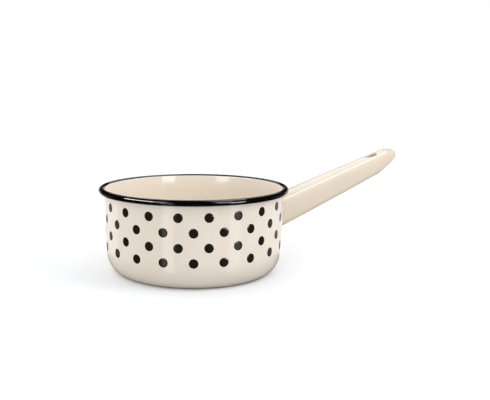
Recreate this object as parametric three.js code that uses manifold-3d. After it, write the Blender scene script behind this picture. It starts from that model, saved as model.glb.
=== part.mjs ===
// Enamelled steel saucepan with a rolled rim and a hollow welded handle.
// Millimetres, +Z up. The pan stands on z = 0 with its axis on Z, and the handle points along +X.
import * as THREE from "three";
import { mergeVertices } from "three/addons/utils/BufferGeometryUtils.js";
import Module from "manifold-3d";

const wasm = await Module();
wasm.setup();

// Pan body
const INNER_DIAMETER = 160;
const PAN_HEIGHT = 78.2;
const BOWL_STEEL = 1.0;
const ENAMEL = 0.3;
const CORNER_RUN = 14.6;
const CORNER_RISE = 25;

// Rolled rim: the wall flares a little, then rolls outward and back, left open towards the wall
const RIM_FLARE = 1.2;
const FLARE_HEIGHT = 11;
const RIM_WIDTH = 5.9;
const RIM_DEPTH = 5.3;
const RIM_ROLL_DEGREES = 285;
const RIM_BLACK_FROM_DEGREES = 30;

// Handle: the lines are those of the steel, measured in the upright plane through its middle
const HANDLE_LENGTH = 162.2;
const HANDLE_STEEL = 1.0;
const HANDLE_TOP_AT_WALL = 57.3;
const HANDLE_TOP_DEGREES = 16.4;
const HANDLE_UNDER_AT_WALL = 28;
const HANDLE_UNDER_DEGREES = 19.4;
const HANDLE_ROOT_WIDTH = 29;
const HANDLE_END_WIDTH = 17.5;
const HANDLE_SQUARENESS = 3.6;
const NOSE_SQUARENESS = 2.4;
const SQUARENESS_FADE = 70;
const BEVEL_LENGTH = 24.2;
const BEVEL_DEGREES = 34;
const NOSE_TOP_LENGTH = 18;
const NOSE_SIDE_LENGTH = 11;
const NOSE_UNDER_LENGTH = 6;
const NOSE_LIFT = 2;

// Hanging slot, punched square to the top of the handle and out through its underside.
// Its upper edge is turned down into the handle as a collar.
const SLOT_LENGTH = 15.5;
const SLOT_WIDTH = 11.4;
const SLOT_FROM_NOSE = 31.4;
const COLLAR_DEPTH = 4;

// Joints
const WELD_LEG = 3;
const WELD_TOE = 0.4;
const WELD_GAP = 0.3;
const SEAM_HEIGHT_SHARE = 0.4;
const SEAM_WELD_WIDTH = 1.2;
const COAT_GAP = 0.05;

// Fineness of the facets
const TURN_STEPS = 48;
const CORNER_STEPS = 5;
const FLARE_STEPS = 2;
const RIM_INNER_STEPS = 1;
const RIM_OUTER_STEPS = 9;
const SECTION_STEPS = 28;
const SLOT_STEPS = 7;
const NOSE_SHARES = [0.35, 0.6, 0.78, 0.9, 0.97];
const ROOT_BLEND = 20;
const CUT_MARGIN = 60;
const MERGE_DISTANCE = 1e-4;

// Colours and finishes
const CREAM = 0xe6ddd0;
const CREAM_INSIDE = 0xe2d4be;
const BLACK = 0x0a0a0c;
const STEEL_GREY = 0x8c8f92;
const WELD_GREY = 0x6f7072;
const ENAMEL_ROUGHNESS = 0.12;
const STEEL_ROUGHNESS = 0.5;
const WELD_ROUGHNESS = 0.7;

// Derived sizes of the bowl, taken at the middle of its sheet
const halfSteel = BOWL_STEEL / 2;
const halfWall = halfSteel + ENAMEL;
const middleRadius = INNER_DIAMETER / 2 + halfWall;
const steelRadius = middleRadius + halfSteel;
const outerRadius = middleRadius + halfWall;
const cornerRun = CORNER_RUN - halfWall;
const cornerRise = CORNER_RISE - halfWall;
const rollHalfWidth = RIM_WIDTH / 2 - halfWall;
const rollHalfDepth = RIM_DEPTH / 2 - halfWall;
const rollHeight = PAN_HEIGHT - RIM_DEPTH / 2;
const flareSlope = (2 * RIM_FLARE) / FLARE_HEIGHT;
const rollStartDegrees = THREE.MathUtils.radToDeg(Math.atan((flareSlope * rollHalfDepth) / rollHalfWidth));

// Derived sizes of the handle
const rootRadius = steelRadius + WELD_GAP;
const noseX = outerRadius + HANDLE_LENGTH;
const noseStart = noseX - NOSE_TOP_LENGTH;
const bevelStart = noseX - BEVEL_LENGTH;
const fadeStart = noseX - SQUARENESS_FADE;
const fadeMiddle = (fadeStart + bevelStart) / 2;
const topRise = Math.tan(THREE.MathUtils.degToRad(HANDLE_TOP_DEGREES));
const underRise = Math.tan(THREE.MathUtils.degToRad(HANDLE_UNDER_DEGREES));
const bevelRise = Math.tan(THREE.MathUtils.degToRad(BEVEL_DEGREES));

// A point of the sheet's middle line with its normal, which points to the inside of the pan
function sheetPoint(r, z, tangentR, tangentZ) {
  const length = Math.hypot(tangentR, tangentZ);
  return { r, z, nr: -tangentZ / length, nz: tangentR / length };
}

// The rounded lower corner, from the flat base to the wall
function cornerPath() {
  const points = [];
  for (let step = 0; step <= CORNER_STEPS; step += 1) {
    const turn = ((Math.PI / 2) * step) / CORNER_STEPS;
    const r = middleRadius - cornerRun + cornerRun * Math.sin(turn);
    const z = halfWall + cornerRise - cornerRise * Math.cos(turn);
    points.push(sheetPoint(r, z, cornerRun * Math.cos(turn), cornerRise * Math.sin(turn)));
  }
  return points;
}

// The flare at the top of the wall, up to where the roll starts
function flarePath() {
  const points = [];
  for (let step = 0; step < FLARE_STEPS; step += 1) {
    const share = step / FLARE_STEPS;
    const r = middleRadius + RIM_FLARE * share ** 2;
    const z = rollHeight - FLARE_HEIGHT * (1 - share);
    points.push(sheetPoint(r, z, flareSlope * share, 1));
  }
  return points;
}

// Part of the rolled rim between two angles, counted from the upright start of the roll
function rollPath(fromDegrees, toDegrees, steps) {
  const points = [];
  for (let step = 0; step <= steps; step += 1) {
    const turn = THREE.MathUtils.degToRad(fromDegrees + ((toDegrees - fromDegrees) * step) / steps);
    const r = middleRadius + RIM_FLARE + rollHalfWidth - rollHalfWidth * Math.cos(turn);
    const z = rollHeight + rollHalfDepth * Math.sin(turn);
    points.push(sheetPoint(r, z, rollHalfWidth * Math.sin(turn), rollHalfDepth * Math.cos(turn)));
  }
  return points;
}

// Turns the layer of sheet or coat between two distances from the sheet's middle line
function turnedLayer(path, low, high) {
  const at = (point, away) => new THREE.Vector2(point.r + point.nr * away, point.z + point.nz * away);
  const outline = path.map((point) => at(point, low));
  outline.push(...path.map((point) => at(point, high)).reverse());
  const onAxis = path[0].r === 0;
  if (!onAxis) {
    outline.push(outline[0].clone());
  }
  const geometry = new THREE.LatheGeometry(outline, TURN_STEPS);
  geometry.rotateX(Math.PI / 2);
  return geometry;
}

// The handle's straight lines at a distance along X, before the nose closes them
function handleLines(x) {
  const run = x - outerRadius;
  const bevel = Math.max(0, x - bevelStart) * (bevelRise - underRise);
  return {
    top: HANDLE_TOP_AT_WALL + run * topRise,
    under: HANDLE_UNDER_AT_WALL + run * underRise + bevel,
    half: (HANDLE_ROOT_WIDTH + ((HANDLE_END_WIDTH - HANDLE_ROOT_WIDTH) * run) / HANDLE_LENGTH) / 2,
  };
}

const noseZ = handleLines(noseX).under + NOSE_LIFT;
const rounded = (value, squareness) => Math.sign(value) * Math.abs(value) ** (2 / squareness);

// Squareness of the handle's section, which eases off towards the nose
function squarenessAt(x) {
  const share = THREE.MathUtils.clamp((x - fadeStart) / SQUARENESS_FADE, 0, 1);
  return THREE.MathUtils.lerp(HANDLE_SQUARENESS, NOSE_SQUARENESS, share);
}

// How far the nose has left a line open, from one where it starts to close to nothing at the point
function noseOpening(x, length, grow) {
  const along = Math.max(0, x - (noseX - length)) / (length + grow);
  return Math.sqrt(Math.max(0, 1 - along * along));
}

// One ring of the handle's surface, grown outward from the steel and hugging the wall near the root
function handleRing(x, grow) {
  const lines = handleLines(Math.min(x, noseX));
  const upper = noseZ + (lines.top + grow - noseZ) * noseOpening(x, NOSE_TOP_LENGTH, grow);
  const lower = noseZ + (lines.under - grow - noseZ) * noseOpening(x, NOSE_UNDER_LENGTH, grow);
  const wide = (lines.half + grow) * noseOpening(x, NOSE_SIDE_LENGTH, grow);
  const hug = Math.max(0, 1 - (x - rootRadius) / ROOT_BLEND);
  const squareness = squarenessAt(x);
  const ring = [];
  for (let step = 0; step < SECTION_STEPS; step += 1) {
    const angle = (2 * Math.PI * step) / SECTION_STEPS;
    const y = wide * rounded(Math.cos(angle), squareness);
    const z = (upper + lower) / 2 + ((upper - lower) / 2) * rounded(Math.sin(angle), squareness);
    const sag = rootRadius - Math.sqrt(rootRadius ** 2 - y ** 2);
    ring.push([x - hug * sag, y, z]);
  }
  return ring;
}

// Rings of one handle surface from the root to the point of the nose, flared at the root if asked
function handleSkin(grow, flare) {
  const stations = [rootRadius + WELD_LEG, rootRadius + ROOT_BLEND, fadeStart, fadeMiddle, bevelStart, noseStart];
  for (const share of NOSE_SHARES) {
    stations.push(noseStart + (NOSE_TOP_LENGTH + grow) * share);
  }
  stations.sort((a, b) => a - b);
  const rings = stations.map((x) => handleRing(x, grow));
  return [handleRing(rootRadius, grow + flare), ...rings, [[noseX + grow, 0, noseZ]]];
}

// Joins rings one after the other, and the last to the first, into one closed surface.
// Both sides of a thin wall are split along the same diagonals, so they stay nested.
function joinRings(rings) {
  const positions = rings.flat(2);
  const starts = [];
  let count = 0;
  for (const ring of rings) {
    starts.push(count);
    count += ring.length;
  }
  const indices = [];
  const addTriangle = (a, b, c) => {
    if (a !== b && b !== c && c !== a) {
      indices.push(a, b, c);
    }
  };
  for (let at = 0; at < rings.length; at += 1) {
    const next = (at + 1) % rings.length;
    const outward = rings[next][0][0] >= rings[at][0][0];
    const here = (step) => starts[at] + (step % rings[at].length);
    const there = (step) => starts[next] + (step % rings[next].length);
    for (let step = 0; step < SECTION_STEPS; step += 1) {
      if (outward) {
        addTriangle(here(step), here(step + 1), there(step));
        addTriangle(here(step + 1), there(step + 1), there(step));
      } else {
        addTriangle(here(step), here(step + 1), there(step + 1));
        addTriangle(here(step), there(step + 1), there(step));
      }
    }
  }
  const geometry = new THREE.BufferGeometry();
  geometry.setAttribute("position", new THREE.Float32BufferAttribute(positions, 3));
  geometry.setIndex(indices);
  return geometry;
}

// A closed handle wall between two surfaces
function handleWall(outer, inner) {
  return joinRings([...outer, ...inner.reverse()]);
}

function toSolid(geometry) {
  const bare = geometry.clone();
  bare.deleteAttribute("normal");
  bare.deleteAttribute("uv");
  const merged = mergeVertices(bare, MERGE_DISTANCE);
  const corners = merged.index.array;
  const kept = [];
  for (let at = 0; at < corners.length; at += 3) {
    const [a, b, c] = corners.slice(at, at + 3);
    if (a !== b && b !== c && c !== a) {
      kept.push(a, b, c);
    }
  }
  const mesh = new wasm.Mesh({
    numProp: 3,
    vertProperties: Float32Array.from(merged.attributes.position.array),
    triVerts: Uint32Array.from(kept),
  });
  return new wasm.Manifold(mesh);
}

function toGeometry(solid) {
  const mesh = solid.getMesh();
  const geometry = new THREE.BufferGeometry();
  geometry.setAttribute("position", new THREE.Float32BufferAttribute(mesh.vertProperties, 3));
  geometry.setIndex(Array.from(mesh.triVerts));
  return geometry;
}

// Window in the outer coat, the outline of the flared handle coat with a clearance, cut through the wall
function rootWindow() {
  const grow = COAT_GAP + WELD_LEG + ENAMEL + WELD_GAP;
  const outline = handleRing(rootRadius, grow).map(([, y, z]) => new THREE.Vector2(y, z));
  const block = new THREE.ExtrudeGeometry(new THREE.Shape(outline), {
    depth: CUT_MARGIN,
    bevelEnabled: false,
  });
  const basis = new THREE.Matrix4().makeBasis(
    new THREE.Vector3(0, 1, 0),
    new THREE.Vector3(0, 0, 1),
    new THREE.Vector3(1, 0, 0),
  );
  block.applyMatrix4(basis);
  block.translate(outerRadius - CUT_MARGIN / 2, 0, 0);
  return toSolid(block);
}

// Punch for the hanging slot, grown outward from its edge
function slotPunch(grow) {
  const radius = SLOT_WIDTH / 2;
  const reach = SLOT_LENGTH / 2 - radius;
  const outline = new THREE.Shape();
  outline.absarc(reach, 0, radius + grow, -Math.PI / 2, Math.PI / 2);
  outline.absarc(-reach, 0, radius + grow, Math.PI / 2, (3 * Math.PI) / 2);
  const punch = new THREE.ExtrudeGeometry(outline, {
    depth: CUT_MARGIN,
    bevelEnabled: false,
    curveSegments: SLOT_STEPS,
  });
  punch.translate(0, 0, -CUT_MARGIN / 2);
  punch.rotateY(-Math.atan(topRise));
  const x = noseX - SLOT_FROM_NOSE;
  punch.translate(x, 0, handleLines(x).top);
  return toSolid(punch);
}

// The whole space inside a handle surface, closed across the root
function handleCore(grow) {
  const { top, under } = handleLines(rootRadius);
  const middle = [rootRadius, 0, (top + under) / 2];
  return toSolid(joinRings([[middle], ...handleSkin(grow, 0)]));
}

// Block for the turned-down edge of the slot, from a handle surface to the depth of the collar
function slotCollar(surfaceGrow, edgeGrow) {
  const core = handleCore(surfaceGrow);
  const slope = Math.atan(topRise);
  const below = core.translate([COLLAR_DEPTH * Math.sin(slope), 0, -COLLAR_DEPTH * Math.cos(slope)]);
  return slotPunch(edgeGrow).intersect(core).subtract(below);
}

// Upright block across the handle between two lines that run beside its seam
function seamBlock(below, above) {
  const rootLines = handleLines(outerRadius);
  const seamAtWall = rootLines.under + SEAM_HEIGHT_SHARE * (rootLines.top - rootLines.under);
  const rise = (noseZ - seamAtWall) / (noseStart - outerRadius);
  const seam = [
    [outerRadius - CUT_MARGIN, seamAtWall - rise * CUT_MARGIN],
    [noseStart, noseZ],
    [noseX + CUT_MARGIN, noseZ],
  ];
  const outline = seam.map(([x, z]) => new THREE.Vector2(x, z + below));
  outline.push(...seam.map(([x, z]) => new THREE.Vector2(x, z + above)).reverse());
  const block = new THREE.ExtrudeGeometry(new THREE.Shape(outline), {
    depth: 2 * CUT_MARGIN,
    bevelEnabled: false,
  });
  block.rotateX(Math.PI / 2);
  block.translate(0, CUT_MARGIN, 0);
  return toSolid(block);
}

const group = new THREE.Group();

function addPiece(name, geometry, color, roughness, metalness) {
  const material = new THREE.MeshStandardMaterial({ color, roughness, metalness });
  const mesh = new THREE.Mesh(geometry, material);
  mesh.name = name;
  group.add(mesh);
}

// Bowl: one drawn sheet from the middle of the base to the end of the rolled rim, and its coats
const base = sheetPoint(0, halfWall, 1, 0);
const corner = cornerPath();
const flare = flarePath();
const rollInner = rollPath(rollStartDegrees, RIM_BLACK_FROM_DEGREES, RIM_INNER_STEPS);
const rollOuter = rollPath(RIM_BLACK_FROM_DEGREES, RIM_ROLL_DEGREES, RIM_OUTER_STEPS);
const insidePath = [base, ...corner, ...flare, ...rollInner];
const outsidePath = [base, ...corner, ...flare, rollInner[0]];
const wholePath = [...insidePath, ...rollOuter.slice(1)];

const bowl = turnedLayer(wholePath, -halfSteel, halfSteel);
const insideCoat = turnedLayer(insidePath, halfSteel, halfWall);
const rimCoat = turnedLayer(rollOuter, halfSteel, halfWall);
const outsideCoat = toSolid(turnedLayer(outsidePath, -halfWall, -halfSteel - COAT_GAP));

addPiece("steel_bowl", bowl, STEEL_GREY, STEEL_ROUGHNESS, 1);
addPiece("inner_enamel", insideCoat, CREAM_INSIDE, ENAMEL_ROUGHNESS, 0);
addPiece("outer_enamel", toGeometry(outsideCoat.subtract(rootWindow())), CREAM, ENAMEL_ROUGHNESS, 0);
addPiece("rim_enamel", rimCoat, BLACK, ENAMEL_ROUGHNESS, 0);

// Handle: a hollow steel wall parted along its seam, the welds and the coat over all of it
const coatGrow = COAT_GAP + ENAMEL;
const coatSlot = slotPunch(0);
const steelSlot = slotPunch(coatGrow);
const steelWall = toSolid(handleWall(handleSkin(0, 0), handleSkin(-HANDLE_STEEL, 0)));
const steelCollar = slotCollar(0, coatGrow + HANDLE_STEEL);
const collaredWall = steelWall.add(steelCollar).subtract(steelSlot);
const plainWall = steelWall.subtract(steelSlot);
const halfSeam = SEAM_WELD_WIDTH / 2;
const upperPressing = collaredWall.intersect(seamBlock(halfSeam + WELD_GAP, 2 * CUT_MARGIN));
const lowerPressing = plainWall.intersect(seamBlock(-2 * CUT_MARGIN, -halfSeam - WELD_GAP));
const seamWeld = steelWall.intersect(seamBlock(-halfSeam, halfSeam));
const rootWeld = joinRings([
  handleRing(rootRadius, WELD_LEG),
  handleRing(rootRadius + WELD_LEG - WELD_TOE, WELD_TOE),
  handleRing(rootRadius + WELD_LEG - WELD_TOE, COAT_GAP),
  handleRing(rootRadius, COAT_GAP),
]);
const coatInside = handleSkin(COAT_GAP, WELD_LEG);
const coatOutside = handleSkin(coatGrow, WELD_LEG);
const coatCollar = slotCollar(coatGrow, ENAMEL);
const handleCoat = toSolid(handleWall(coatOutside, coatInside)).add(coatCollar).subtract(coatSlot);

addPiece("handle_upper_pressing", toGeometry(upperPressing), STEEL_GREY, STEEL_ROUGHNESS, 1);
addPiece("handle_lower_pressing", toGeometry(lowerPressing), STEEL_GREY, STEEL_ROUGHNESS, 1);
addPiece("seam_weld", toGeometry(seamWeld), WELD_GREY, WELD_ROUGHNESS, 1);
addPiece("root_weld", rootWeld, WELD_GREY, WELD_ROUGHNESS, 1);
addPiece("handle_enamel", toGeometry(handleCoat), CREAM, ENAMEL_ROUGHNESS, 0);

export default group;
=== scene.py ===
"""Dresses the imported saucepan: fine enamel coats, printed dots, the handle's coat and a white studio."""

from __future__ import annotations

import logging
import math
from dataclasses import dataclass
from enum import Enum
from typing import Callable, Iterable

import bmesh
import bpy
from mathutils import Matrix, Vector


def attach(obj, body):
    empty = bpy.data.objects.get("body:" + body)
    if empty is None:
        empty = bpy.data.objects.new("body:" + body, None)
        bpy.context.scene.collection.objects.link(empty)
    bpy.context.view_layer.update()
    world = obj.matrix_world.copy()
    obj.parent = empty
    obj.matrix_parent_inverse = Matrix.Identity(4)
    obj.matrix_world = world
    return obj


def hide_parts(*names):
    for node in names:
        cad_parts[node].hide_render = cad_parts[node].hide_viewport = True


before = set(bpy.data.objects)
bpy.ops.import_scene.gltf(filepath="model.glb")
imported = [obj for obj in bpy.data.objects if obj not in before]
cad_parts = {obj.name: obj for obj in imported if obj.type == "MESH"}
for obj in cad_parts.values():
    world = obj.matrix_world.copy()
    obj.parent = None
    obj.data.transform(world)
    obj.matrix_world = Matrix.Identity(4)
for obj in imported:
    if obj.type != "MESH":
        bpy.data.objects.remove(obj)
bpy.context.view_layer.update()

LOG = logging.getLogger("saucepan")
MM = 0.001
BODY = "root"
MERGE = 1e-7
BEARING_DIGITS = 5
Colour = tuple[float, float, float]
Corners = list[bmesh.types.BMVert]
Edges = list[bmesh.types.BMEdge]
SlotRing = Callable[[float], tuple[float, float, float]]


class Side(Enum):
    """The two faces of the handle that the hanging slot goes through."""

    TOP = 1
    UNDER = -1


class Ray(Enum):
    """Outputs of the Light Path node that the studio uses."""

    CAMERA = "Is Camera Ray"
    GLOSSY = "Is Glossy Ray"


class LampUse(Enum):
    """What a softbox is for: to be mirrored in the gloss, or to light the surfaces."""

    MIRRORED = "mirrored"
    LIGHTS = "lights"


class Sketch:
    """A shader tree that is drawn up node by node."""

    def __init__(self, owner: bpy.types.Material | bpy.types.World) -> None:
        """Clears the owner's tree.

        Args:
            owner: The material or world that the nodes belong to.
        """
        owner.use_nodes = True
        self.tree = owner.node_tree
        self.tree.nodes.clear()

    def add(self, kind: str, **values: object) -> bpy.types.Node:
        """Adds a node.

        Args:
            kind: Blender's name for the node type.
            **values: Properties of the node.

        Returns:
            The new node.
        """
        node = self.tree.nodes.new(kind)
        for name, value in values.items():
            setattr(node, name, value)
        return node

    def link(self, out: bpy.types.NodeSocket, into: bpy.types.NodeSocket) -> None:
        """Joins two sockets.

        Args:
            out: The output that gives the value.
            into: The input that takes it.
        """
        self.tree.links.new(out, into)

    def place(self) -> bpy.types.NodeSocket:
        """Adds the piece's own coordinates.

        Returns:
            The coordinates, in metres.
        """
        return self.add("ShaderNodeTexCoord").outputs["Object"]

    def noise(self, scale: float, detail: float, rough: float = 0.5) -> bpy.types.NodeSocket:
        """Adds a noise on the piece's own coordinates.

        Args:
            scale: Number of features in a metre.
            detail: Number of finer octaves.
            rough: Strength of the finer octaves.

        Returns:
            The noise's value.
        """
        node = self.add("ShaderNodeTexNoise")
        node.inputs["Scale"].default_value = scale
        node.inputs["Detail"].default_value = detail
        node.inputs["Roughness"].default_value = rough
        self.link(self.place(), node.inputs["Vector"])
        return node.outputs["Fac"]

    def spread(self, value: bpy.types.NodeSocket, low: float, high: float,
               start: float = 0.3, end: float = 0.7) -> bpy.types.NodeSocket:
        """Maps a noise value to a range.

        Args:
            value: The socket to map.
            low: The result at start.
            high: The result at end.
            start: The value that gives low.
            end: The value that gives high.

        Returns:
            The mapped value.
        """
        node = self.add("ShaderNodeMapRange")
        node.inputs["From Min"].default_value = start
        node.inputs["From Max"].default_value = end
        node.inputs["To Min"].default_value = low
        node.inputs["To Max"].default_value = high
        self.link(value, node.inputs["Value"])
        return node.outputs["Result"]

    def blend(self, share: bpy.types.NodeSocket, first: Colour | bpy.types.NodeSocket,
              second: Colour) -> bpy.types.NodeSocket:
        """Mixes two colours.

        Args:
            share: Share of the second colour.
            first: A colour, or the socket of one.
            second: A colour.

        Returns:
            The mixed colour.
        """
        node = self.add("ShaderNodeMix", data_type="RGBA")
        self.link(share, node.inputs["Factor"])
        if isinstance(first, tuple):
            node.inputs["A"].default_value = (*first, 1.0)
        else:
            self.link(first, node.inputs["A"])
        node.inputs["B"].default_value = (*second, 1.0)
        return node.outputs["Result"]

    def bump(self, height: bpy.types.NodeSocket, distance: float,
             below: bpy.types.NodeSocket | None = None) -> bpy.types.NodeSocket:
        """Adds a bump.

        Args:
            height: The height, from nothing to one.
            distance: Metres that a height of one stands for.
            below: A normal that this bump lies on.

        Returns:
            The bumped normal.
        """
        node = self.add("ShaderNodeBump")
        node.inputs["Distance"].default_value = distance
        self.link(height, node.inputs["Height"])
        if below is not None:
            self.link(below, node.inputs["Normal"])
        return node.outputs["Normal"]

    def principled(self, colour: bpy.types.NodeSocket, rough: bpy.types.NodeSocket,
                   normal: bpy.types.NodeSocket, **fixed: float) -> None:
        """Ends the tree with a Principled shader.

        Args:
            colour: Base colour.
            rough: Roughness.
            normal: Bumped normal.
            **fixed: Values that are the same all over, with underscores for spaces.
        """
        shader = self.add("ShaderNodeBsdfPrincipled")
        for name, value in fixed.items():
            shader.inputs[name.replace("_", " ")].default_value = value
        self.link(colour, shader.inputs["Base Color"])
        self.link(rough, shader.inputs["Roughness"])
        self.link(normal, shader.inputs["Normal"])
        self.link(shader.outputs[0], self.add("ShaderNodeOutputMaterial").inputs["Surface"])


@dataclass(frozen=True)
class Enamel:
    """Fired glass enamel: an even glossy coat with a slight wave, cloudy tone and a few pinpoint specks."""

    name: str
    colour: Colour
    cloud: Colour
    speck: Colour
    rough: tuple[float, float] = (0.05, 0.09)
    gloss: float = 0.5
    wave: float = 0.00004
    peel: float = 0.000002
    speck_start: float = 0.8
    speck_fade: float = 0.05
    speck_share: float = 0.55
    cloud_scale: float = 26.0
    cloud_detail: float = 3.0
    speck_scale: float = 620.0
    speck_detail: float = 0.0
    rough_scale: float = 45.0
    rough_detail: float = 4.0
    wave_scale: float = 38.0
    wave_detail: float = 1.0
    peel_scale: float = 900.0
    peel_detail: float = 2.0
    refraction: float = 1.52

    def material(self) -> bpy.types.Material:
        """Makes the enamel's material.

        Returns:
            The material.
        """
        made = bpy.data.materials.new(self.name)
        sketch = Sketch(made)
        cloud = sketch.spread(sketch.noise(self.cloud_scale, self.cloud_detail), 0.0, 1.0)
        speck = sketch.spread(sketch.noise(self.speck_scale, self.speck_detail), 0.0, self.speck_share,
                              self.speck_start, self.speck_start + self.speck_fade)
        colour = sketch.blend(speck, sketch.blend(cloud, self.colour, self.cloud), self.speck)
        rough = sketch.spread(sketch.noise(self.rough_scale, self.rough_detail), *self.rough)
        normal = sketch.bump(sketch.noise(self.wave_scale, self.wave_detail), self.wave)
        normal = sketch.bump(sketch.noise(self.peel_scale, self.peel_detail), self.peel, normal)
        sketch.principled(colour, rough, normal, IOR=self.refraction, Specular_IOR_Level=self.gloss)
        return made


@dataclass(frozen=True)
class Steel:
    """Bare drawn steel with fine streaks and a dull oxide cloud."""

    name: str
    colour: Colour
    oxide: Colour
    rough: tuple[float, float] = (0.38, 0.55)
    grain: float = 0.00003
    grain_scale: float = 1400.0
    grain_detail: float = 4.0
    oxide_scale: float = 70.0
    oxide_detail: float = 5.0
    oxide_rough: float = 0.6
    oxide_share: float = 0.8
    rough_scale: float = 240.0
    rough_detail: float = 3.0

    def material(self) -> bpy.types.Material:
        """Makes the steel's material.

        Returns:
            The material.
        """
        made = bpy.data.materials.new(self.name)
        sketch = Sketch(made)
        cloud = sketch.noise(self.oxide_scale, self.oxide_detail, self.oxide_rough)
        colour = sketch.blend(sketch.spread(cloud, 0.0, self.oxide_share), self.colour, self.oxide)
        rough = sketch.spread(sketch.noise(self.rough_scale, self.rough_detail), *self.rough)
        normal = sketch.bump(sketch.noise(self.grain_scale, self.grain_detail), self.grain)
        sketch.principled(colour, rough, normal, Metallic=1.0)
        return made


CREAM = Enamel("cream_enamel", (0.775, 0.705, 0.62), (0.755, 0.685, 0.6), (0.58, 0.51, 0.43))
# The inside coat takes a lighter copy of the cream: its extra lightness is painted light for the light that
# falls inside the pan.
CREAM_INSIDE_PAINTED_LIGHT = Enamel("cream_enamel_inside_painted_light", (0.795, 0.72, 0.62), (0.775, 0.7, 0.6), (0.6, 0.52, 0.43))
# The handle's cream is yellower than the bowl's, and darker: the darkness is painted shade for the handle's
# side.
CREAM_HANDLE_PAINTED_SHADE = Enamel("cream_enamel_handle_painted_shade", (0.705, 0.62, 0.51), (0.685, 0.6, 0.49), (0.58, 0.5, 0.41))
BLACK_RIM = Enamel("black_enamel", (0.0012, 0.001, 0.0014), (0.002, 0.0018, 0.002), (0.006, 0.005, 0.005),
                   rough=(0.06, 0.1))
BLACK_DOT = Enamel("black_dot_enamel", (0.011, 0.0085, 0.0055), (0.014, 0.011, 0.0075), (0.03, 0.026, 0.02),
                   rough=(0.1, 0.18), gloss=0.35)
BARE_STEEL = Steel("bare_steel", (0.42, 0.42, 0.43), (0.27, 0.26, 0.26))
WELD_BEAD = Steel("weld_bead", (0.3, 0.29, 0.29), (0.16, 0.14, 0.13),
                  rough=(0.5, 0.7), grain=0.0002, grain_scale=420.0)


def settle(shape: bmesh.types.BMesh) -> None:
    """Puts a shape's corners, edges and faces in an order that is the same each run.

    Args:
        shape: The shape.
    """
    for row, key in ((shape.verts, lambda v: tuple(v.co)),
                     (shape.edges, lambda e: sorted(v.index for v in e.verts)),
                     (shape.faces, lambda f: sorted(v.index for v in f.verts))):
        for index, item in enumerate(sorted(row, key=key)):
            item.index = index
        row.sort()


def finish_piece(name: str, shape: bmesh.types.BMesh, material: bpy.types.Material,
                 nodes: Iterable[str] = (), crease: float = 35.0) -> bpy.types.Object:
    """Turns a finished shape into a piece of the object.

    Args:
        name: Name of the piece.
        shape: Its shape, in metres, which is freed.
        material: Its finish.
        nodes: The CAD nodes that it stands for.
        crease: Degrees past which an edge stays sharp.

    Returns:
        The piece.
    """
    mesh = bpy.data.meshes.new(name)
    for face in shape.faces:
        face.smooth = True
    settle(shape)
    shape.to_mesh(mesh)
    shape.free()
    mesh.set_sharp_from_angle(angle=math.radians(crease))
    mesh.materials.append(material)
    piece = bpy.data.objects.new(name, mesh)
    bpy.context.scene.collection.objects.link(piece)
    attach(piece, BODY)
    if nodes:
        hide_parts(*nodes)
    LOG.info("%s: %d faces", name, len(mesh.polygons))
    return piece


def dress_node(name: str, material: bpy.types.Material) -> None:
    """Gives a CAD node that stays a finish.

    Args:
        name: The node.
        material: Its finish.
    """
    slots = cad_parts[name].data.materials
    slots.clear()
    slots.append(material)
    LOG.info("%s: CAD node kept", name)


def extend(shape: bmesh.types.BMesh, rim: Edges) -> tuple[Corners, Edges]:
    """Adds a row of faces to an open edge. Its new corners still lie on the old ones.

    Args:
        shape: The shape that grows.
        rim: The open edge.

    Returns:
        The new corners and the new open edge.
    """
    grown = bmesh.ops.extrude_edge_only(shape, edges=rim)["geom"]
    corners = [g for g in grown if isinstance(g, bmesh.types.BMVert)]
    return corners, [g for g in grown if isinstance(g, bmesh.types.BMEdge)]


@dataclass(frozen=True)
class SheetPoint:
    """A point of the bowl's middle line with its normal, which points to the inside of the pan."""

    r: float
    z: float
    nr: float
    nz: float

    def off(self, away: float) -> tuple[float, float]:
        """Finds a place beside the middle line.

        Args:
            away: Distance from the line, towards the inside.

        Returns:
            Its radius and height.
        """
        return self.r + self.nr * away, self.z + self.nz * away


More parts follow.
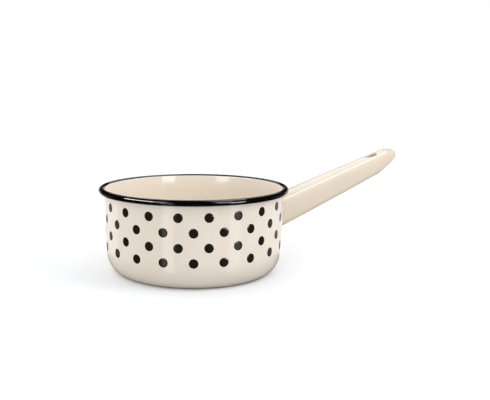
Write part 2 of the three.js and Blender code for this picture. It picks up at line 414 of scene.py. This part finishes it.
@dataclass
class Bowl:
    """The drawn bowl with its rolled rim and coats. Sizes are in millimetres."""

    inner_diameter: float = 160.0
    height: float = 78.2
    steel: float = 1.0
    enamel: float = 0.3
    corner_run: float = 14.6
    corner_rise: float = 25.0
    rim_width: float = 5.9
    flare: float = 1.2
    flare_height: float = 11.0
    rim_depth: float = 5.3
    roll_end: float = 285.0
    black_from: float = 30.0
    turn_steps: int = 192
    corner_steps: int = 24
    wall_steps: int = 10
    flare_steps: int = 12
    roll_steps: int = 60
    base_steps: int = 4

    def __post_init__(self) -> None:
        """Works out the sizes at the middle of the sheet."""
        self.half_wall = self.steel / 2 + self.enamel
        self.middle = self.inner_diameter / 2 + self.half_wall
        self.outer = self.middle + self.half_wall
        self.roll_height = self.height - self.rim_depth / 2
        self.roll_wide = self.rim_width / 2 - self.half_wall
        self.roll_deep = self.rim_depth / 2 - self.half_wall
        slope = 2 * self.flare / self.flare_height
        self.roll_start = math.degrees(math.atan(slope * self.roll_deep / self.roll_wide))

    def point(self, r: float, z: float, run: float, rise: float) -> SheetPoint:
        """Makes a point of the middle line.

        Args:
            r: Its radius.
            z: Its height.
            run: Outward part of the line's direction there.
            rise: Upward part of the line's direction there.

        Returns:
            The point.
        """
        length = math.hypot(run, rise)
        return SheetPoint(r, z, -rise / length, run / length)

    def base(self) -> list[SheetPoint]:
        """Draws the middle line of the flat base.

        Returns:
            Its points, from the axis outward.
        """
        edge = self.inner_diameter / 2 + 2 * self.half_wall - self.corner_run
        return [self.point(edge * k / self.base_steps, self.half_wall, 1, 0) for k in range(self.base_steps)]

    def corner(self) -> list[SheetPoint]:
        """Draws the middle line of the rounded lower corner.

        Returns:
            Its points, from the base up.
        """
        run, rise = self.corner_run - self.half_wall, self.corner_rise - self.half_wall
        points = []
        for step in range(self.corner_steps + 1):
            turn = math.pi / 2 * step / self.corner_steps
            points.append(self.point(self.middle - run + run * math.sin(turn),
                                     self.half_wall + rise - rise * math.cos(turn),
                                     run * math.cos(turn), rise * math.sin(turn)))
        return points

    def wall(self) -> list[SheetPoint]:
        """Draws the middle line of the upright wall, which flares a little under the rim.

        Returns:
            Its points, from the corner up.
        """
        top = self.roll_height - self.flare_height
        rise = top - self.corner_rise
        points = [self.point(self.middle, self.corner_rise + rise * k / self.wall_steps, 0, 1)
                  for k in range(1, self.wall_steps + 1)]
        for step in range(1, self.flare_steps):
            share = step / self.flare_steps
            points.append(self.point(self.middle + self.flare * share**2, top + self.flare_height * share,
                                     2 * self.flare * share, self.flare_height))
        return points

    def roll(self, start: float, end: float) -> list[SheetPoint]:
        """Draws the middle line of a stretch of the rolled rim.

        Args:
            start: Angle in degrees at which it starts, from the inner side over the top.
            end: Angle in degrees at which it ends.

        Returns:
            Its points.
        """
        wide, deep = self.roll_wide, self.roll_deep
        steps = max(1, round(self.roll_steps * (end - start) / self.roll_end))
        points = []
        for step in range(steps + 1):
            turn = math.radians(start + (end - start) * step / steps)
            points.append(self.point(self.middle + self.flare + wide - wide * math.cos(turn),
                                     self.roll_height + deep * math.sin(turn),
                                     wide * math.sin(turn), deep * math.cos(turn)))
        return points

    def layer(self, path: list[SheetPoint], low: float, high: float) -> bmesh.types.BMesh:
        """Turns the layer between two distances from the middle line about the pan's axis.

        Args:
            path: The stretch of the middle line.
            low: Distance of one face.
            high: Distance of the other face.

        Returns:
            The closed layer, in metres.
        """
        shape = bmesh.new()
        outline = [p.off(low) for p in path] + [p.off(high) for p in reversed(path)]
        corners = [shape.verts.new((r * MM, 0.0, z * MM)) for r, z in outline]
        edges = [shape.edges.new(pair) for pair in zip(corners, corners[1:])]
        if path[0].r > 0:
            edges.append(shape.edges.new((corners[-1], corners[0])))
        bmesh.ops.spin(shape, geom=corners + edges, axis=(0, 0, 1), cent=(0, 0, 0), dvec=(0, 0, 0),
                       angle=2 * math.pi, steps=self.turn_steps, use_merge=True)
        bmesh.ops.remove_doubles(shape, verts=shape.verts, dist=MERGE)
        bmesh.ops.dissolve_degenerate(shape, edges=shape.edges, dist=MERGE)
        bmesh.ops.recalc_face_normals(shape, faces=shape.faces)
        return shape

    def surface(self, z: float) -> tuple[float, float, float]:
        """Finds the coated outside of the pan at a height.

        Args:
            z: Height in millimetres, above the base and below the rim.

        Returns:
            Its radius, and the radial and upward parts of its outward normal.
        """
        if z >= self.corner_rise:
            share = max(0.0, 1 - (self.roll_height - z) / self.flare_height)
            out = Vector((self.flare_height, -2 * self.flare * share)).normalized()
            return self.middle + self.flare * share**2 + self.half_wall / out.x, out.x, out.y
        drop = (self.corner_rise - z) / self.corner_rise
        along = math.sqrt(1 - drop * drop)
        out = Vector((along / self.corner_run, -drop / self.corner_rise)).normalized()
        return self.outer - self.corner_run * (1 - along), out.x, out.y

    def build(self) -> None:
        """Builds and dresses the steel bowl and its three coats."""
        upright = self.base() + self.corner() + self.wall()
        crest = self.roll(self.roll_start, self.black_from)
        rim = self.roll(self.black_from, self.roll_end)
        inside, half = upright + crest, self.steel / 2
        for name, path, low, high, finish, node in (
                ("drawn_bowl", inside + rim[1:], -half, half, BARE_STEEL, "steel_bowl"),
                ("inside_coat", inside, half, self.half_wall, CREAM_INSIDE_PAINTED_LIGHT, "inner_enamel"),
                ("outside_coat", upright + crest[:1], -self.half_wall, -half, CREAM, "outer_enamel"),
                ("rim_coat", rim, half, self.half_wall, BLACK_RIM, "rim_enamel")):
            finish_piece(name, self.layer(path, low, high), finish.material(), [node])


@dataclass
class Dots:
    """Rows of printed dots fired on the outside.

    Sizes are in millimetres, and angles run from the front of the pan.
    """

    bowl: Bowl
    diameter: float = 8.25
    per_row: int = 20
    rows: int = 4
    top_row: float = 62.83
    row_step: float = 12.70
    sag: float = 1.475
    sag_step: float = 0.076
    tilt: float = 0.505
    front: float = -118.0
    relief: float = 0.035
    sunk: float = 0.06
    insets: tuple[float, ...] = (0.12, 1.1, 1.5)
    out_of_round: float = 0.008
    wobble: float = 3.0
    wobble_turns: float = 7.0
    segments: int = 36
    crease: float = 60.0
    handle_half: float = 22.5
    handle_span: tuple[float, float] = (19.0, 66.0)

    def height(self, row: int, angle: float) -> float:
        """Finds the height of a dot, which follows the slight sag of the two half-turn prints.

        Args:
            row: Row, from the top.
            angle: Angle from the front in radians, from minus pi to pi.

        Returns:
            The height in millimetres.
        """
        lift = self.sag + self.sag_step * (row - (self.rows - 1) / 2)
        side = min(abs(angle), math.pi - abs(angle))
        tilt = math.radians(self.tilt) * self.bowl.outer * math.sin(angle)
        return self.top_row - row * self.row_step + lift * side * side + tilt

    def on_wall(self, turn: float, z: float, away: float) -> Vector:
        """Finds a place by the wall.

        Args:
            turn: Angle about the pan's axis in radians.
            z: Height on the wall.
            away: Distance out from the wall.

        Returns:
            The place, in metres.
        """
        radius, out, up = self.bowl.surface(z)
        radius += out * away
        return Vector((radius * math.cos(turn), radius * math.sin(turn), z + up * away)) * MM

    def add(self, shape: bmesh.types.BMesh, turn: float, middle: float) -> None:
        """Adds one dot, a thin disc with a rounded edge that follows the wall.

        Args:
            shape: The shape that takes it.
            turn: Angle about the pan's axis in radians.
            middle: Height of its middle.
        """
        disc = bmesh.ops.create_circle(shape, cap_ends=True, radius=self.diameter / 2, segments=self.segments)
        edge = set(disc["verts"])
        face = disc["verts"][0].link_faces[0]
        made = set(edge)
        for thickness in self.insets:
            ring = bmesh.ops.inset_region(shape, faces=[face], thickness=thickness,
                                          use_boundary=True, use_even_offset=True)
            made.update(v for f in ring["faces"] for v in f.verts)
        made.update(bmesh.ops.poke(shape, faces=[face])["verts"])
        wobble = self.wobble * math.sin(turn * self.wobble_turns + middle)
        for vert in made:
            across, up = vert.co.x, vert.co.y
            stretch = 1 + self.out_of_round * math.sin(2 * math.atan2(up, across) + wobble)
            away = -self.sunk if vert in edge else self.relief
            vert.co = self.on_wall(turn + across * stretch / self.bowl.outer, middle + up * stretch, away)

    def build(self) -> None:
        """Builds and dresses all the dots as one print, apart from those that the handle's root covers."""
        shape = bmesh.new()
        step = 2 * math.pi / self.per_row
        low, high = self.handle_span
        for row in range(self.rows):
            shift = 0.5 if row % 2 == 0 else 0.0
            for place in range(self.per_row):
                angle = math.remainder(step * (place + shift), 2 * math.pi)
                turn = angle + math.radians(self.front)
                z = self.height(row, angle)
                beside = abs(self.bowl.outer * math.sin(turn)) < self.handle_half and math.cos(turn) > 0
                if not (beside and low < z < high):
                    self.add(shape, turn, z)
        bmesh.ops.recalc_face_normals(shape, faces=shape.faces)
        finish_piece("dots", shape, BLACK_DOT.material(), crease=self.crease)


@dataclass
class Handle:
    """The coat of the hollow handle, with its root fillet, nose and slot. Sizes are in millimetres."""

    wall: float = 81.6
    length: float = 162.2
    coat: float = 0.35
    enamel: float = 0.3
    top_at_wall: float = 57.3
    top_degrees: float = 16.4
    under_at_wall: float = 28.0
    under_degrees: float = 19.4
    root_width: float = 29.0
    end_width: float = 17.5
    squareness: float = 3.6
    nose_squareness: float = 2.4
    squareness_fade: float = 70.0
    bevel_length: float = 24.2
    bevel_degrees: float = 34.0
    nose_top: float = 18.0
    nose_side: float = 11.0
    nose_under: float = 6.0
    nose_lift: float = 2.0
    fillet: float = 3.0
    fillet_run: float = 8.0
    fillet_round: float = 1.2
    fillet_fade: int = 4
    root_sunk: float = 0.12
    root_skirt: float = 0.3
    root_blend: float = 20.0
    fine_from: float = 198.0
    slot_length: float = 14.4
    slot_width: float = 9.6
    slot_from_nose: float = 30.85
    slot_reach: float = 2.0
    cut_along: float = 2.0
    cut_across: float = 1.2
    lip: float = 0.5
    under_lip: float = 0.4
    collar: float = 4.0
    apron_shares: tuple[float, ...] = (0.35, 0.7, 1.0)
    collar_shares: tuple[float, ...] = (0.6, 1.0)
    lip_steps: int = 6
    search_steps: int = 12
    fillet_rings: int = 16
    stem_rings: int = 34
    slot_rings: int = 36
    nose_rings: int = 28
    segments: int = 128
    crease: float = 50.0

    def __post_init__(self) -> None:
        """Works out the places along the handle."""
        self.nose = self.wall + self.length
        self.top_rise = math.tan(math.radians(self.top_degrees))
        self.under_rise = math.tan(math.radians(self.under_degrees))
        self.bevel_rise = math.tan(math.radians(self.bevel_degrees))
        self.nose_z = self.lines(self.nose)[1] + self.nose_lift
        self.slot_x = self.nose - self.slot_from_nose
        self.slot_z = self.lines(self.slot_x)[0]
        slope = math.radians(self.top_degrees)
        self.slot_run = Vector((math.cos(slope), 0, math.sin(slope)))
        self.slot_out = Vector((-math.sin(slope), 0, math.cos(slope)))

    def lines(self, x: float) -> tuple[float, float, float]:
        """Finds the steel's lines at a place, before the nose closes them.

        Args:
            x: Place along the handle.

        Returns:
            Height of the top, height of the underside and half the width.
        """
        run = x - self.wall
        bevel = max(0.0, x - self.nose + self.bevel_length) * (self.bevel_rise - self.under_rise)
        half = (self.root_width + (self.end_width - self.root_width) * run / self.length) / 2
        under = self.under_at_wall + run * self.under_rise + bevel
        return self.top_at_wall + run * self.top_rise, under, half

    def closing(self, x: float, length: float) -> float:
        """Finds how far the nose has left a line open.

        Args:
            x: Place along the handle.
            length: Length over which the nose closes that line.

        Returns:
            One where it is fully open, down to nothing at the tip.
        """
        along = max(0.0, x - (self.nose - length)) / (length + self.coat)
        return math.sqrt(max(0.0, 1 - along * along))

    def section(self, x: float, flare: float = 0.0) -> tuple[float, float, float]:
        """Finds the coat's section at x.

        Args:
            x: Place along the handle.
            flare: Extra growth at the root.

        Returns:
            Height of its middle, half its height and half its width.
        """
        top, under, half = self.lines(min(x, self.nose))
        grow = self.coat + flare
        upper = self.nose_z + (top + grow - self.nose_z) * self.closing(x, self.nose_top)
        lower = self.nose_z + (under - grow - self.nose_z) * self.closing(x, self.nose_under)
        wide = (half + grow) * self.closing(x, self.nose_side)
        return (upper + lower) / 2, (upper - lower) / 2, wide

    def square(self, x: float) -> float:
        """Finds the section's squareness, which is less towards the nose.

        Args:
            x: Place along the handle.

        Returns:
            The power of the section's curve. Two is an ellipse.
        """
        share = min(1.0, max(0.0, 1 - (self.nose - x) / self.squareness_fade))
        return self.squareness + (self.nose_squareness - self.squareness) * share

    def on_ring(self, x: float, angle: float, flare: float) -> Vector:
        """Finds a place on the coat.

        Args:
            x: Place along the handle.
            angle: Angle round the section in radians.
            flare: Extra growth at the root.

        Returns:
            The place in millimetres. Near the root it follows the round of the wall.
        """
        middle, tall, wide = self.section(x, flare)
        power = 2 / self.square(x)
        y = wide * math.copysign(abs(math.cos(angle)) ** power, math.cos(angle))
        z = middle + tall * math.copysign(abs(math.sin(angle)) ** power, math.sin(angle))
        hug = min(1.0, max(0.0, 1 - (x - self.wall) / self.root_blend))
        sag = self.wall - math.sqrt(self.wall**2 - y**2)
        return Vector((x - hug * sag, y, z))

    def face(self, x: float, y: float, side: Side) -> float:
        """Finds the height of the coat's top or underside.

        Args:
            x: Place along the handle.
            y: Place across the handle.
            side: The face of the handle.

        Returns:
            The height in millimetres.
        """
        middle, tall, wide = self.section(x)
        open_share = max(0.0, 1 - abs(y / wide) ** self.square(x))
        return middle + side.value * tall * open_share ** (1 / self.square(x))

    def stations(self) -> list[tuple[float, float]]:
        """Lists the rings that the coat is drawn through.

        Returns:
            For each ring, its place along the handle and its extra growth at the root.
        """
        rings = [(self.wall - self.root_sunk, self.fillet + self.root_skirt)]
        for step in range(self.fillet_rings + 1):
            share = step / self.fillet_rings
            left = self.fillet - self.fillet_run * share
            bead = (left + math.hypot(left, self.fillet_round)) / 2
            rings.append((self.wall + self.fillet_run * share, bead * (1 - share**self.fillet_fade)))
        nose_from = self.nose - self.nose_top
        for start, end, count in ((self.wall + self.fillet_run, self.fine_from, self.stem_rings),
                                  (self.fine_from, nose_from, self.slot_rings)):
            rings += [(start + (end - start) * k / count, 0.0) for k in range(1, count + 1)]
        reach = self.nose_top + self.coat
        rings += [(nose_from + reach * math.sin(math.pi / 2 * k / self.nose_rings), 0.0)
                  for k in range(1, self.nose_rings)]
        return rings

    def slot_edge(self, bearing: float, grow: float) -> tuple[float, float]:
        """Finds the slot's edge in a direction from its middle.

        Args:
            bearing: The direction, in radians from along the handle.
            grow: Distance outward from the edge.

        Returns:
            The place along and across the slot.
        """
        radius = self.slot_width / 2 + grow
        reach = self.slot_length / 2 - self.slot_width / 2
        run, rise = math.cos(bearing), math.sin(bearing)
        if abs(run) * radius <= reach * abs(rise):
            return radius * run / abs(rise), math.copysign(radius, rise)
        far = reach * abs(run) + math.sqrt(radius**2 - (reach * rise) ** 2)
        return far * run, far * rise

    def over_slot(self, along: float, across: float, depth: float, side: Side) -> Vector:
        """Finds the coat's surface straight out from a place in the slot's plane.

        Args:
            along: Place along the slot.
            across: Place across the slot.
            depth: Depth below the surface, into the handle.
            side: The face of the handle.

        Returns:
            The place in millimetres.
        """
        foot = Vector((self.slot_x, 0, self.slot_z)) + self.slot_run * along + Vector((0, across, 0))
        out = 0.0
        for _ in range(self.search_steps):
            place = foot + self.slot_out * out
            out += (self.face(place.x, across, side) - place.z) / self.slot_out.z
        return foot + self.slot_out * (out - side.value * depth)

    def on_side(self, place: Vector, middle: Vector, side: Side) -> bool:
        """Tells the edge of a slot's cut-out from the other open edges.

        Args:
            place: A place on the coat.
            middle: The slot's middle on that face.
            side: The face of the handle.

        Returns:
            Whether the place lies on that face, near the slot.
        """
        out = (place.z - self.section(place.x)[0]) * side.value
        return out > 0 and (place - middle).length < self.slot_reach * self.slot_length

    @staticmethod
    def between(start: tuple[float, float], end: tuple[float, float], share: float) -> tuple[float, float]:
        """Finds a point between two points.

        Args:
            start: The first point.
            end: The second point.
            share: Share of the way to the second.

        Returns:
            The point.
        """
        return start[0] + (end[0] - start[0]) * share, start[1] + (end[1] - start[1]) * share

    def lip_rings(self, starts: dict[float, tuple[float, float]], lip: float,
                  collar: float) -> list[SlotRing]:
        """Lists the rings from the edge of the cut-out to the lip, round it and down the collar.

        Args:
            starts: The edge of the cut-out, along and across the slot, by rounded bearing.
            lip: Radius of the lip.
            collar: Depth of the collar.

        Returns:
            For each ring, what gives its place along and across the slot and its depth at a bearing.
        """
        rings: list[SlotRing] = []
        for share in self.apron_shares:
            rings.append(lambda b, s=share: (
                *self.between(starts[round(b, BEARING_DIGITS)], self.slot_edge(b, lip), s), 0.0))
        for step in range(1, self.lip_steps + 1):
            turn = math.pi / 2 * step / self.lip_steps
            rings.append(lambda b, t=turn: (
                *self.slot_edge(b, lip * (1 - math.sin(t))), lip * (1 - math.cos(t))))
        for share in self.collar_shares:
            rings.append(lambda b, s=share: (*self.slot_edge(b, 0.0), lip + (collar - lip) * s))
        return rings

    def open_slot(self, shape: bmesh.types.BMesh, side: Side) -> None:
        """Opens the slot in one face of the coat, with a rounded lip and a collar turned into the handle.

        Args:
            shape: The coat, in millimetres.
            side: The face of the handle.
        """
        angle, bearing = shape.verts.layers.float["angle"], shape.verts.layers.float["bearing"]
        lip = self.lip if side is Side.TOP else self.under_lip * self.lip
        collar = self.collar if side is Side.TOP else self.lip
        middle = self.over_slot(0, 0, 0, side)
        half_long = self.slot_length / 2 + lip + self.cut_along
        half_wide = self.slot_width / 2 + lip + self.cut_across
        share = (half_wide / self.section(middle.x)[2]) ** (self.square(middle.x) / 2)
        span = math.pi / 2 - math.acos(share)
        inside = []
        for patch in shape.faces:
            level = all(abs(v[angle] - side.value * math.pi / 2) < span for v in patch.verts)
            if level and abs(patch.calc_center_median().x - middle.x) < half_long:
                inside.append(patch)
        bmesh.ops.delete(shape, geom=inside, context="FACES")
        rim = [e for e in shape.edges
               if e.is_boundary and all(self.on_side(v.co, middle, side) for v in e.verts)]
        starts = {}
        for vert in {v for e in rim for v in e.verts}:
            off = vert.co - middle
            along, across = off.dot(self.slot_run), off.y
            vert[bearing] = math.atan2(across, along)
            starts[round(vert[bearing], BEARING_DIGITS)] = (along, across)
        for place in self.lip_rings(starts, lip, collar):
            ring, rim = extend(shape, rim)
            for vert in ring:
                vert.co = self.over_slot(*place(vert[bearing]), side)

    def build(self) -> None:
        """Builds the coat from the root to the nose, opens the slot and dresses the handle."""
        shape = bmesh.new()
        shape.verts.layers.float.new("angle")
        shape.verts.layers.float.new("bearing")
        angle = shape.verts.layers.float["angle"]
        ring = bmesh.ops.create_circle(shape, cap_ends=False, radius=1.0, segments=self.segments)["verts"]
        for vert in ring:
            vert[angle] = math.atan2(vert.co.y, vert.co.x)
        rim = list(shape.edges)
        for place, (x, flare) in enumerate(self.stations()):
            if place > 0:
                ring, rim = extend(shape, rim)
            for vert in ring:
                vert.co = self.on_ring(x, vert[angle], flare)
        tip, _ = extend(shape, rim)
        bmesh.ops.pointmerge(shape, verts=tip, merge_co=(self.nose + self.coat, 0, self.nose_z))
        for side in Side:
            self.open_slot(shape, side)
        bmesh.ops.scale(shape, vec=(MM, MM, MM), verts=shape.verts)
        settle(shape)
        bmesh.ops.recalc_face_normals(shape, faces=shape.faces)
        bmesh.ops.solidify(shape, geom=list(shape.faces), thickness=self.enamel * MM)
        finish_piece("handle_coat", shape, CREAM_HANDLE_PAINTED_SHADE.material(), ["handle_enamel"],
                     crease=self.crease)
        steel, weld = BARE_STEEL.material(), WELD_BEAD.material()
        for name in ("handle_upper_pressing", "handle_lower_pressing"):
            dress_node(name, steel)
        for name in ("seam_weld", "root_weld"):
            dress_node(name, weld)


@dataclass(frozen=True)
class Softbox:
    """A softbox that faces the pan.

    Bearing is in degrees from the camera, to the right. Lengths are in metres.
    """

    name: str
    bearing: float
    elevation: float
    distance: float
    width: float
    height: float
    radiance: float
    use: LampUse
    aim: float = 0.05

    def place(self, front: float) -> None:
        """Adds the light.

        Args:
            front: The camera's bearing from the pan, in degrees about Z.
        """
        turn, lift = math.radians(front + self.bearing), math.radians(self.elevation)
        target = Vector((0, 0, self.aim))
        out = Vector((math.cos(turn) * math.cos(lift), math.sin(turn) * math.cos(lift), math.sin(lift)))
        lamp = bpy.data.lights.new(self.name, "AREA")
        lamp.shape = "RECTANGLE"
        lamp.size, lamp.size_y = self.width, self.height
        lamp.energy = self.radiance * math.pi * self.width * self.height
        holder = bpy.data.objects.new(self.name, lamp)
        holder.location = target + out * self.distance
        holder.rotation_euler = out.to_track_quat("Z", "Y").to_euler()
        holder.visible_camera = False
        holder.visible_diffuse = self.use is LampUse.LIGHTS
        holder.visible_glossy = self.use is LampUse.MIRRORED
        bpy.context.scene.collection.objects.link(holder)


# Each row is a lamp's name, bearing, elevation, distance, width, height and radiance.
LAMPS = {
    LampUse.MIRRORED: (
        ("left_box", -42.5, 24.0, 1.4, 0.46, 0.8, 4.6),
        ("right_box", 36.3, 24.5, 1.4, 0.46, 0.76, 5.6),
        ("left_wing", -70.0, 27.0, 1.4, 0.95, 0.2, 42.0),
        ("left_glow", -40.0, 4.5, 1.4, 0.42, 0.24, 2.0),
        ("right_glow", 37.0, 4.5, 1.4, 0.46, 0.24, 3.0),
        ("left_line", -31.0, 0.0, 1.4, 0.42, 0.15, 3.0),
        ("right_line", 51.5, 0.0, 1.4, 0.46, 0.15, 38.0),
        ("left_pool", -31.3, -22.0, 1.4, 0.345, 0.8, 1.6),
        ("right_pool", 52.0, -22.0, 1.4, 0.34, 0.8, 1.3),
        ("far_floor", 180.0, -14.0, 1.8, 1.6, 0.28, 0.9),
        ("back_left", -135.0, -12.0, 1.8, 1.7, 0.3, 0.52),
        ("back_right", 143.0, -12.0, 1.8, 1.3, 0.3, 0.64),
        ("side_right", 113.0, -12.0, 1.8, 0.6, 0.3, 0.45),
        ("rim_card", 180.0, 0.0, 1.8, 3.0, 0.5, 0.4),
        ("handle_card", 178.0, 40.0, 1.8, 1.3, 1.2, 1.25),
        ("handle_line", 118.0, 68.0, 1.5, 0.7, 0.6, 4.5),
    ),
    LampUse.LIGHTS: (
        ("left_side", -128.0, 2.2, 1.5, 1.2, 0.11, 50.0),
        ("right_side", 125.0, 2.2, 1.5, 1.2, 0.11, 17.0),
        ("left_fill", -70.0, 4.0, 1.6, 0.8, 0.2, 1.4),
        ("right_fill", 75.0, 40.0, 1.6, 0.8, 0.8, 3.3),
        ("front_fill", 0.0, 12.0, 1.8, 2.2, 1.2, 0.84),
        ("top_light", 20.0, 80.0, 1.5, 1.2, 1.2, 0.3),
    ),
}


@dataclass
class Studio:
    """A white floor, soft light and the camera. Camera sizes are in millimetres, picture sizes in pixels."""

    camera_distance: float = 639.24
    camera_height: float = 170.1
    camera_pitch: float = 9.379
    handle_bearing: float = 28.0
    focal_pixels: float = 699.41
    picture_width: int = 490
    optical_axis: float = 193.57
    sensor: float = 36.0
    floor_size: float = 1.6
    floor_seen: Colour = (0.85, 0.865, 0.89)
    floor_felt: Colour = (0.55, 0.55, 0.55)
    ambient: float = 1.0
    backdrop: float = 1.0
    mirrored: float = 0.01

    def camera(self) -> None:
        """Adds the camera, with the lens shift that the picture's framing needs."""
        turn = math.radians(self.handle_bearing)
        data = bpy.data.cameras.new("camera")
        data.sensor_fit = "HORIZONTAL"
        data.sensor_width = self.sensor
        data.lens = self.focal_pixels / self.picture_width * self.sensor
        data.shift_x = (self.picture_width / 2 - self.optical_axis) / self.picture_width
        holder = bpy.data.objects.new("camera", data)
        holder.location = Vector((-math.sin(turn) * self.camera_distance,
                                  -math.cos(turn) * self.camera_distance, self.camera_height)) * MM
        holder.rotation_euler = (math.radians(90 - self.camera_pitch), 0, -turn)
        bpy.context.scene.collection.objects.link(holder)
        bpy.context.scene.camera = holder

    def floor(self) -> None:
        """Adds the floor. The camera sees it paler than it is to the light that bounces off it."""
        shape = bmesh.new()
        bmesh.ops.create_grid(shape, x_segments=1, y_segments=1, size=self.floor_size / 2)
        mesh = bpy.data.meshes.new("floor")
        shape.to_mesh(mesh)
        shape.free()
        made = bpy.data.materials.new("white_floor")
        sketch = Sketch(made)
        seen, felt = sketch.add("ShaderNodeBsdfDiffuse"), sketch.add("ShaderNodeBsdfDiffuse")
        seen.inputs["Color"].default_value = (*self.floor_seen, 1.0)
        felt.inputs["Color"].default_value = (*self.floor_felt, 1.0)
        mix = sketch.add("ShaderNodeMixShader")
        sketch.link(sketch.add("ShaderNodeLightPath").outputs[Ray.CAMERA.value], mix.inputs[0])
        sketch.link(felt.outputs[0], mix.inputs[1])
        sketch.link(seen.outputs[0], mix.inputs[2])
        sketch.link(mix.outputs[0], sketch.add("ShaderNodeOutputMaterial").inputs["Surface"])
        mesh.materials.append(made)
        piece = bpy.data.objects.new("floor", mesh)
        bpy.context.scene.collection.objects.link(piece)
        piece.visible_glossy = False

    def world(self) -> None:
        """Sets an even white surround that is all but dark in mirrored rays, with a white backdrop."""
        world = bpy.data.worlds.new("studio")
        bpy.context.scene.world = world
        sketch = Sketch(world)
        path = sketch.add("ShaderNodeLightPath")
        made = None
        for strength, ray in ((self.ambient, None), (self.mirrored, Ray.GLOSSY), (self.backdrop, Ray.CAMERA)):
            shader = sketch.add("ShaderNodeBackground")
            shader.inputs["Color"].default_value = (1.0, 1.0, 1.0, 1.0)
            shader.inputs["Strength"].default_value = strength
            if made is None:
                made = shader.outputs[0]
                continue
            mix = sketch.add("ShaderNodeMixShader")
            sketch.link(path.outputs[ray.value], mix.inputs[0])
            sketch.link(made, mix.inputs[1])
            sketch.link(shader.outputs[0], mix.inputs[2])
            made = mix.outputs[0]
        sketch.link(made, sketch.add("ShaderNodeOutputWorld").inputs["Surface"])

    def build(self) -> None:
        """Adds everything around the pan."""
        scene = bpy.context.scene
        scene.view_settings.view_transform = "Standard"
        scene.view_settings.look = "None"
        self.camera()
        self.floor()
        self.world()
        front = -90 - self.handle_bearing
        for use, rows in LAMPS.items():
            for row in rows:
                Softbox(*row, use).place(front)


def main() -> None:
    """Builds the pan and the studio."""
    logging.basicConfig(level=logging.INFO, format="%(name)s %(message)s")
    bowl = Bowl()
    bowl.build()
    Dots(bowl).build()
    Handle().build()
    Studio().build()


if __name__ == "__main__":
    main()
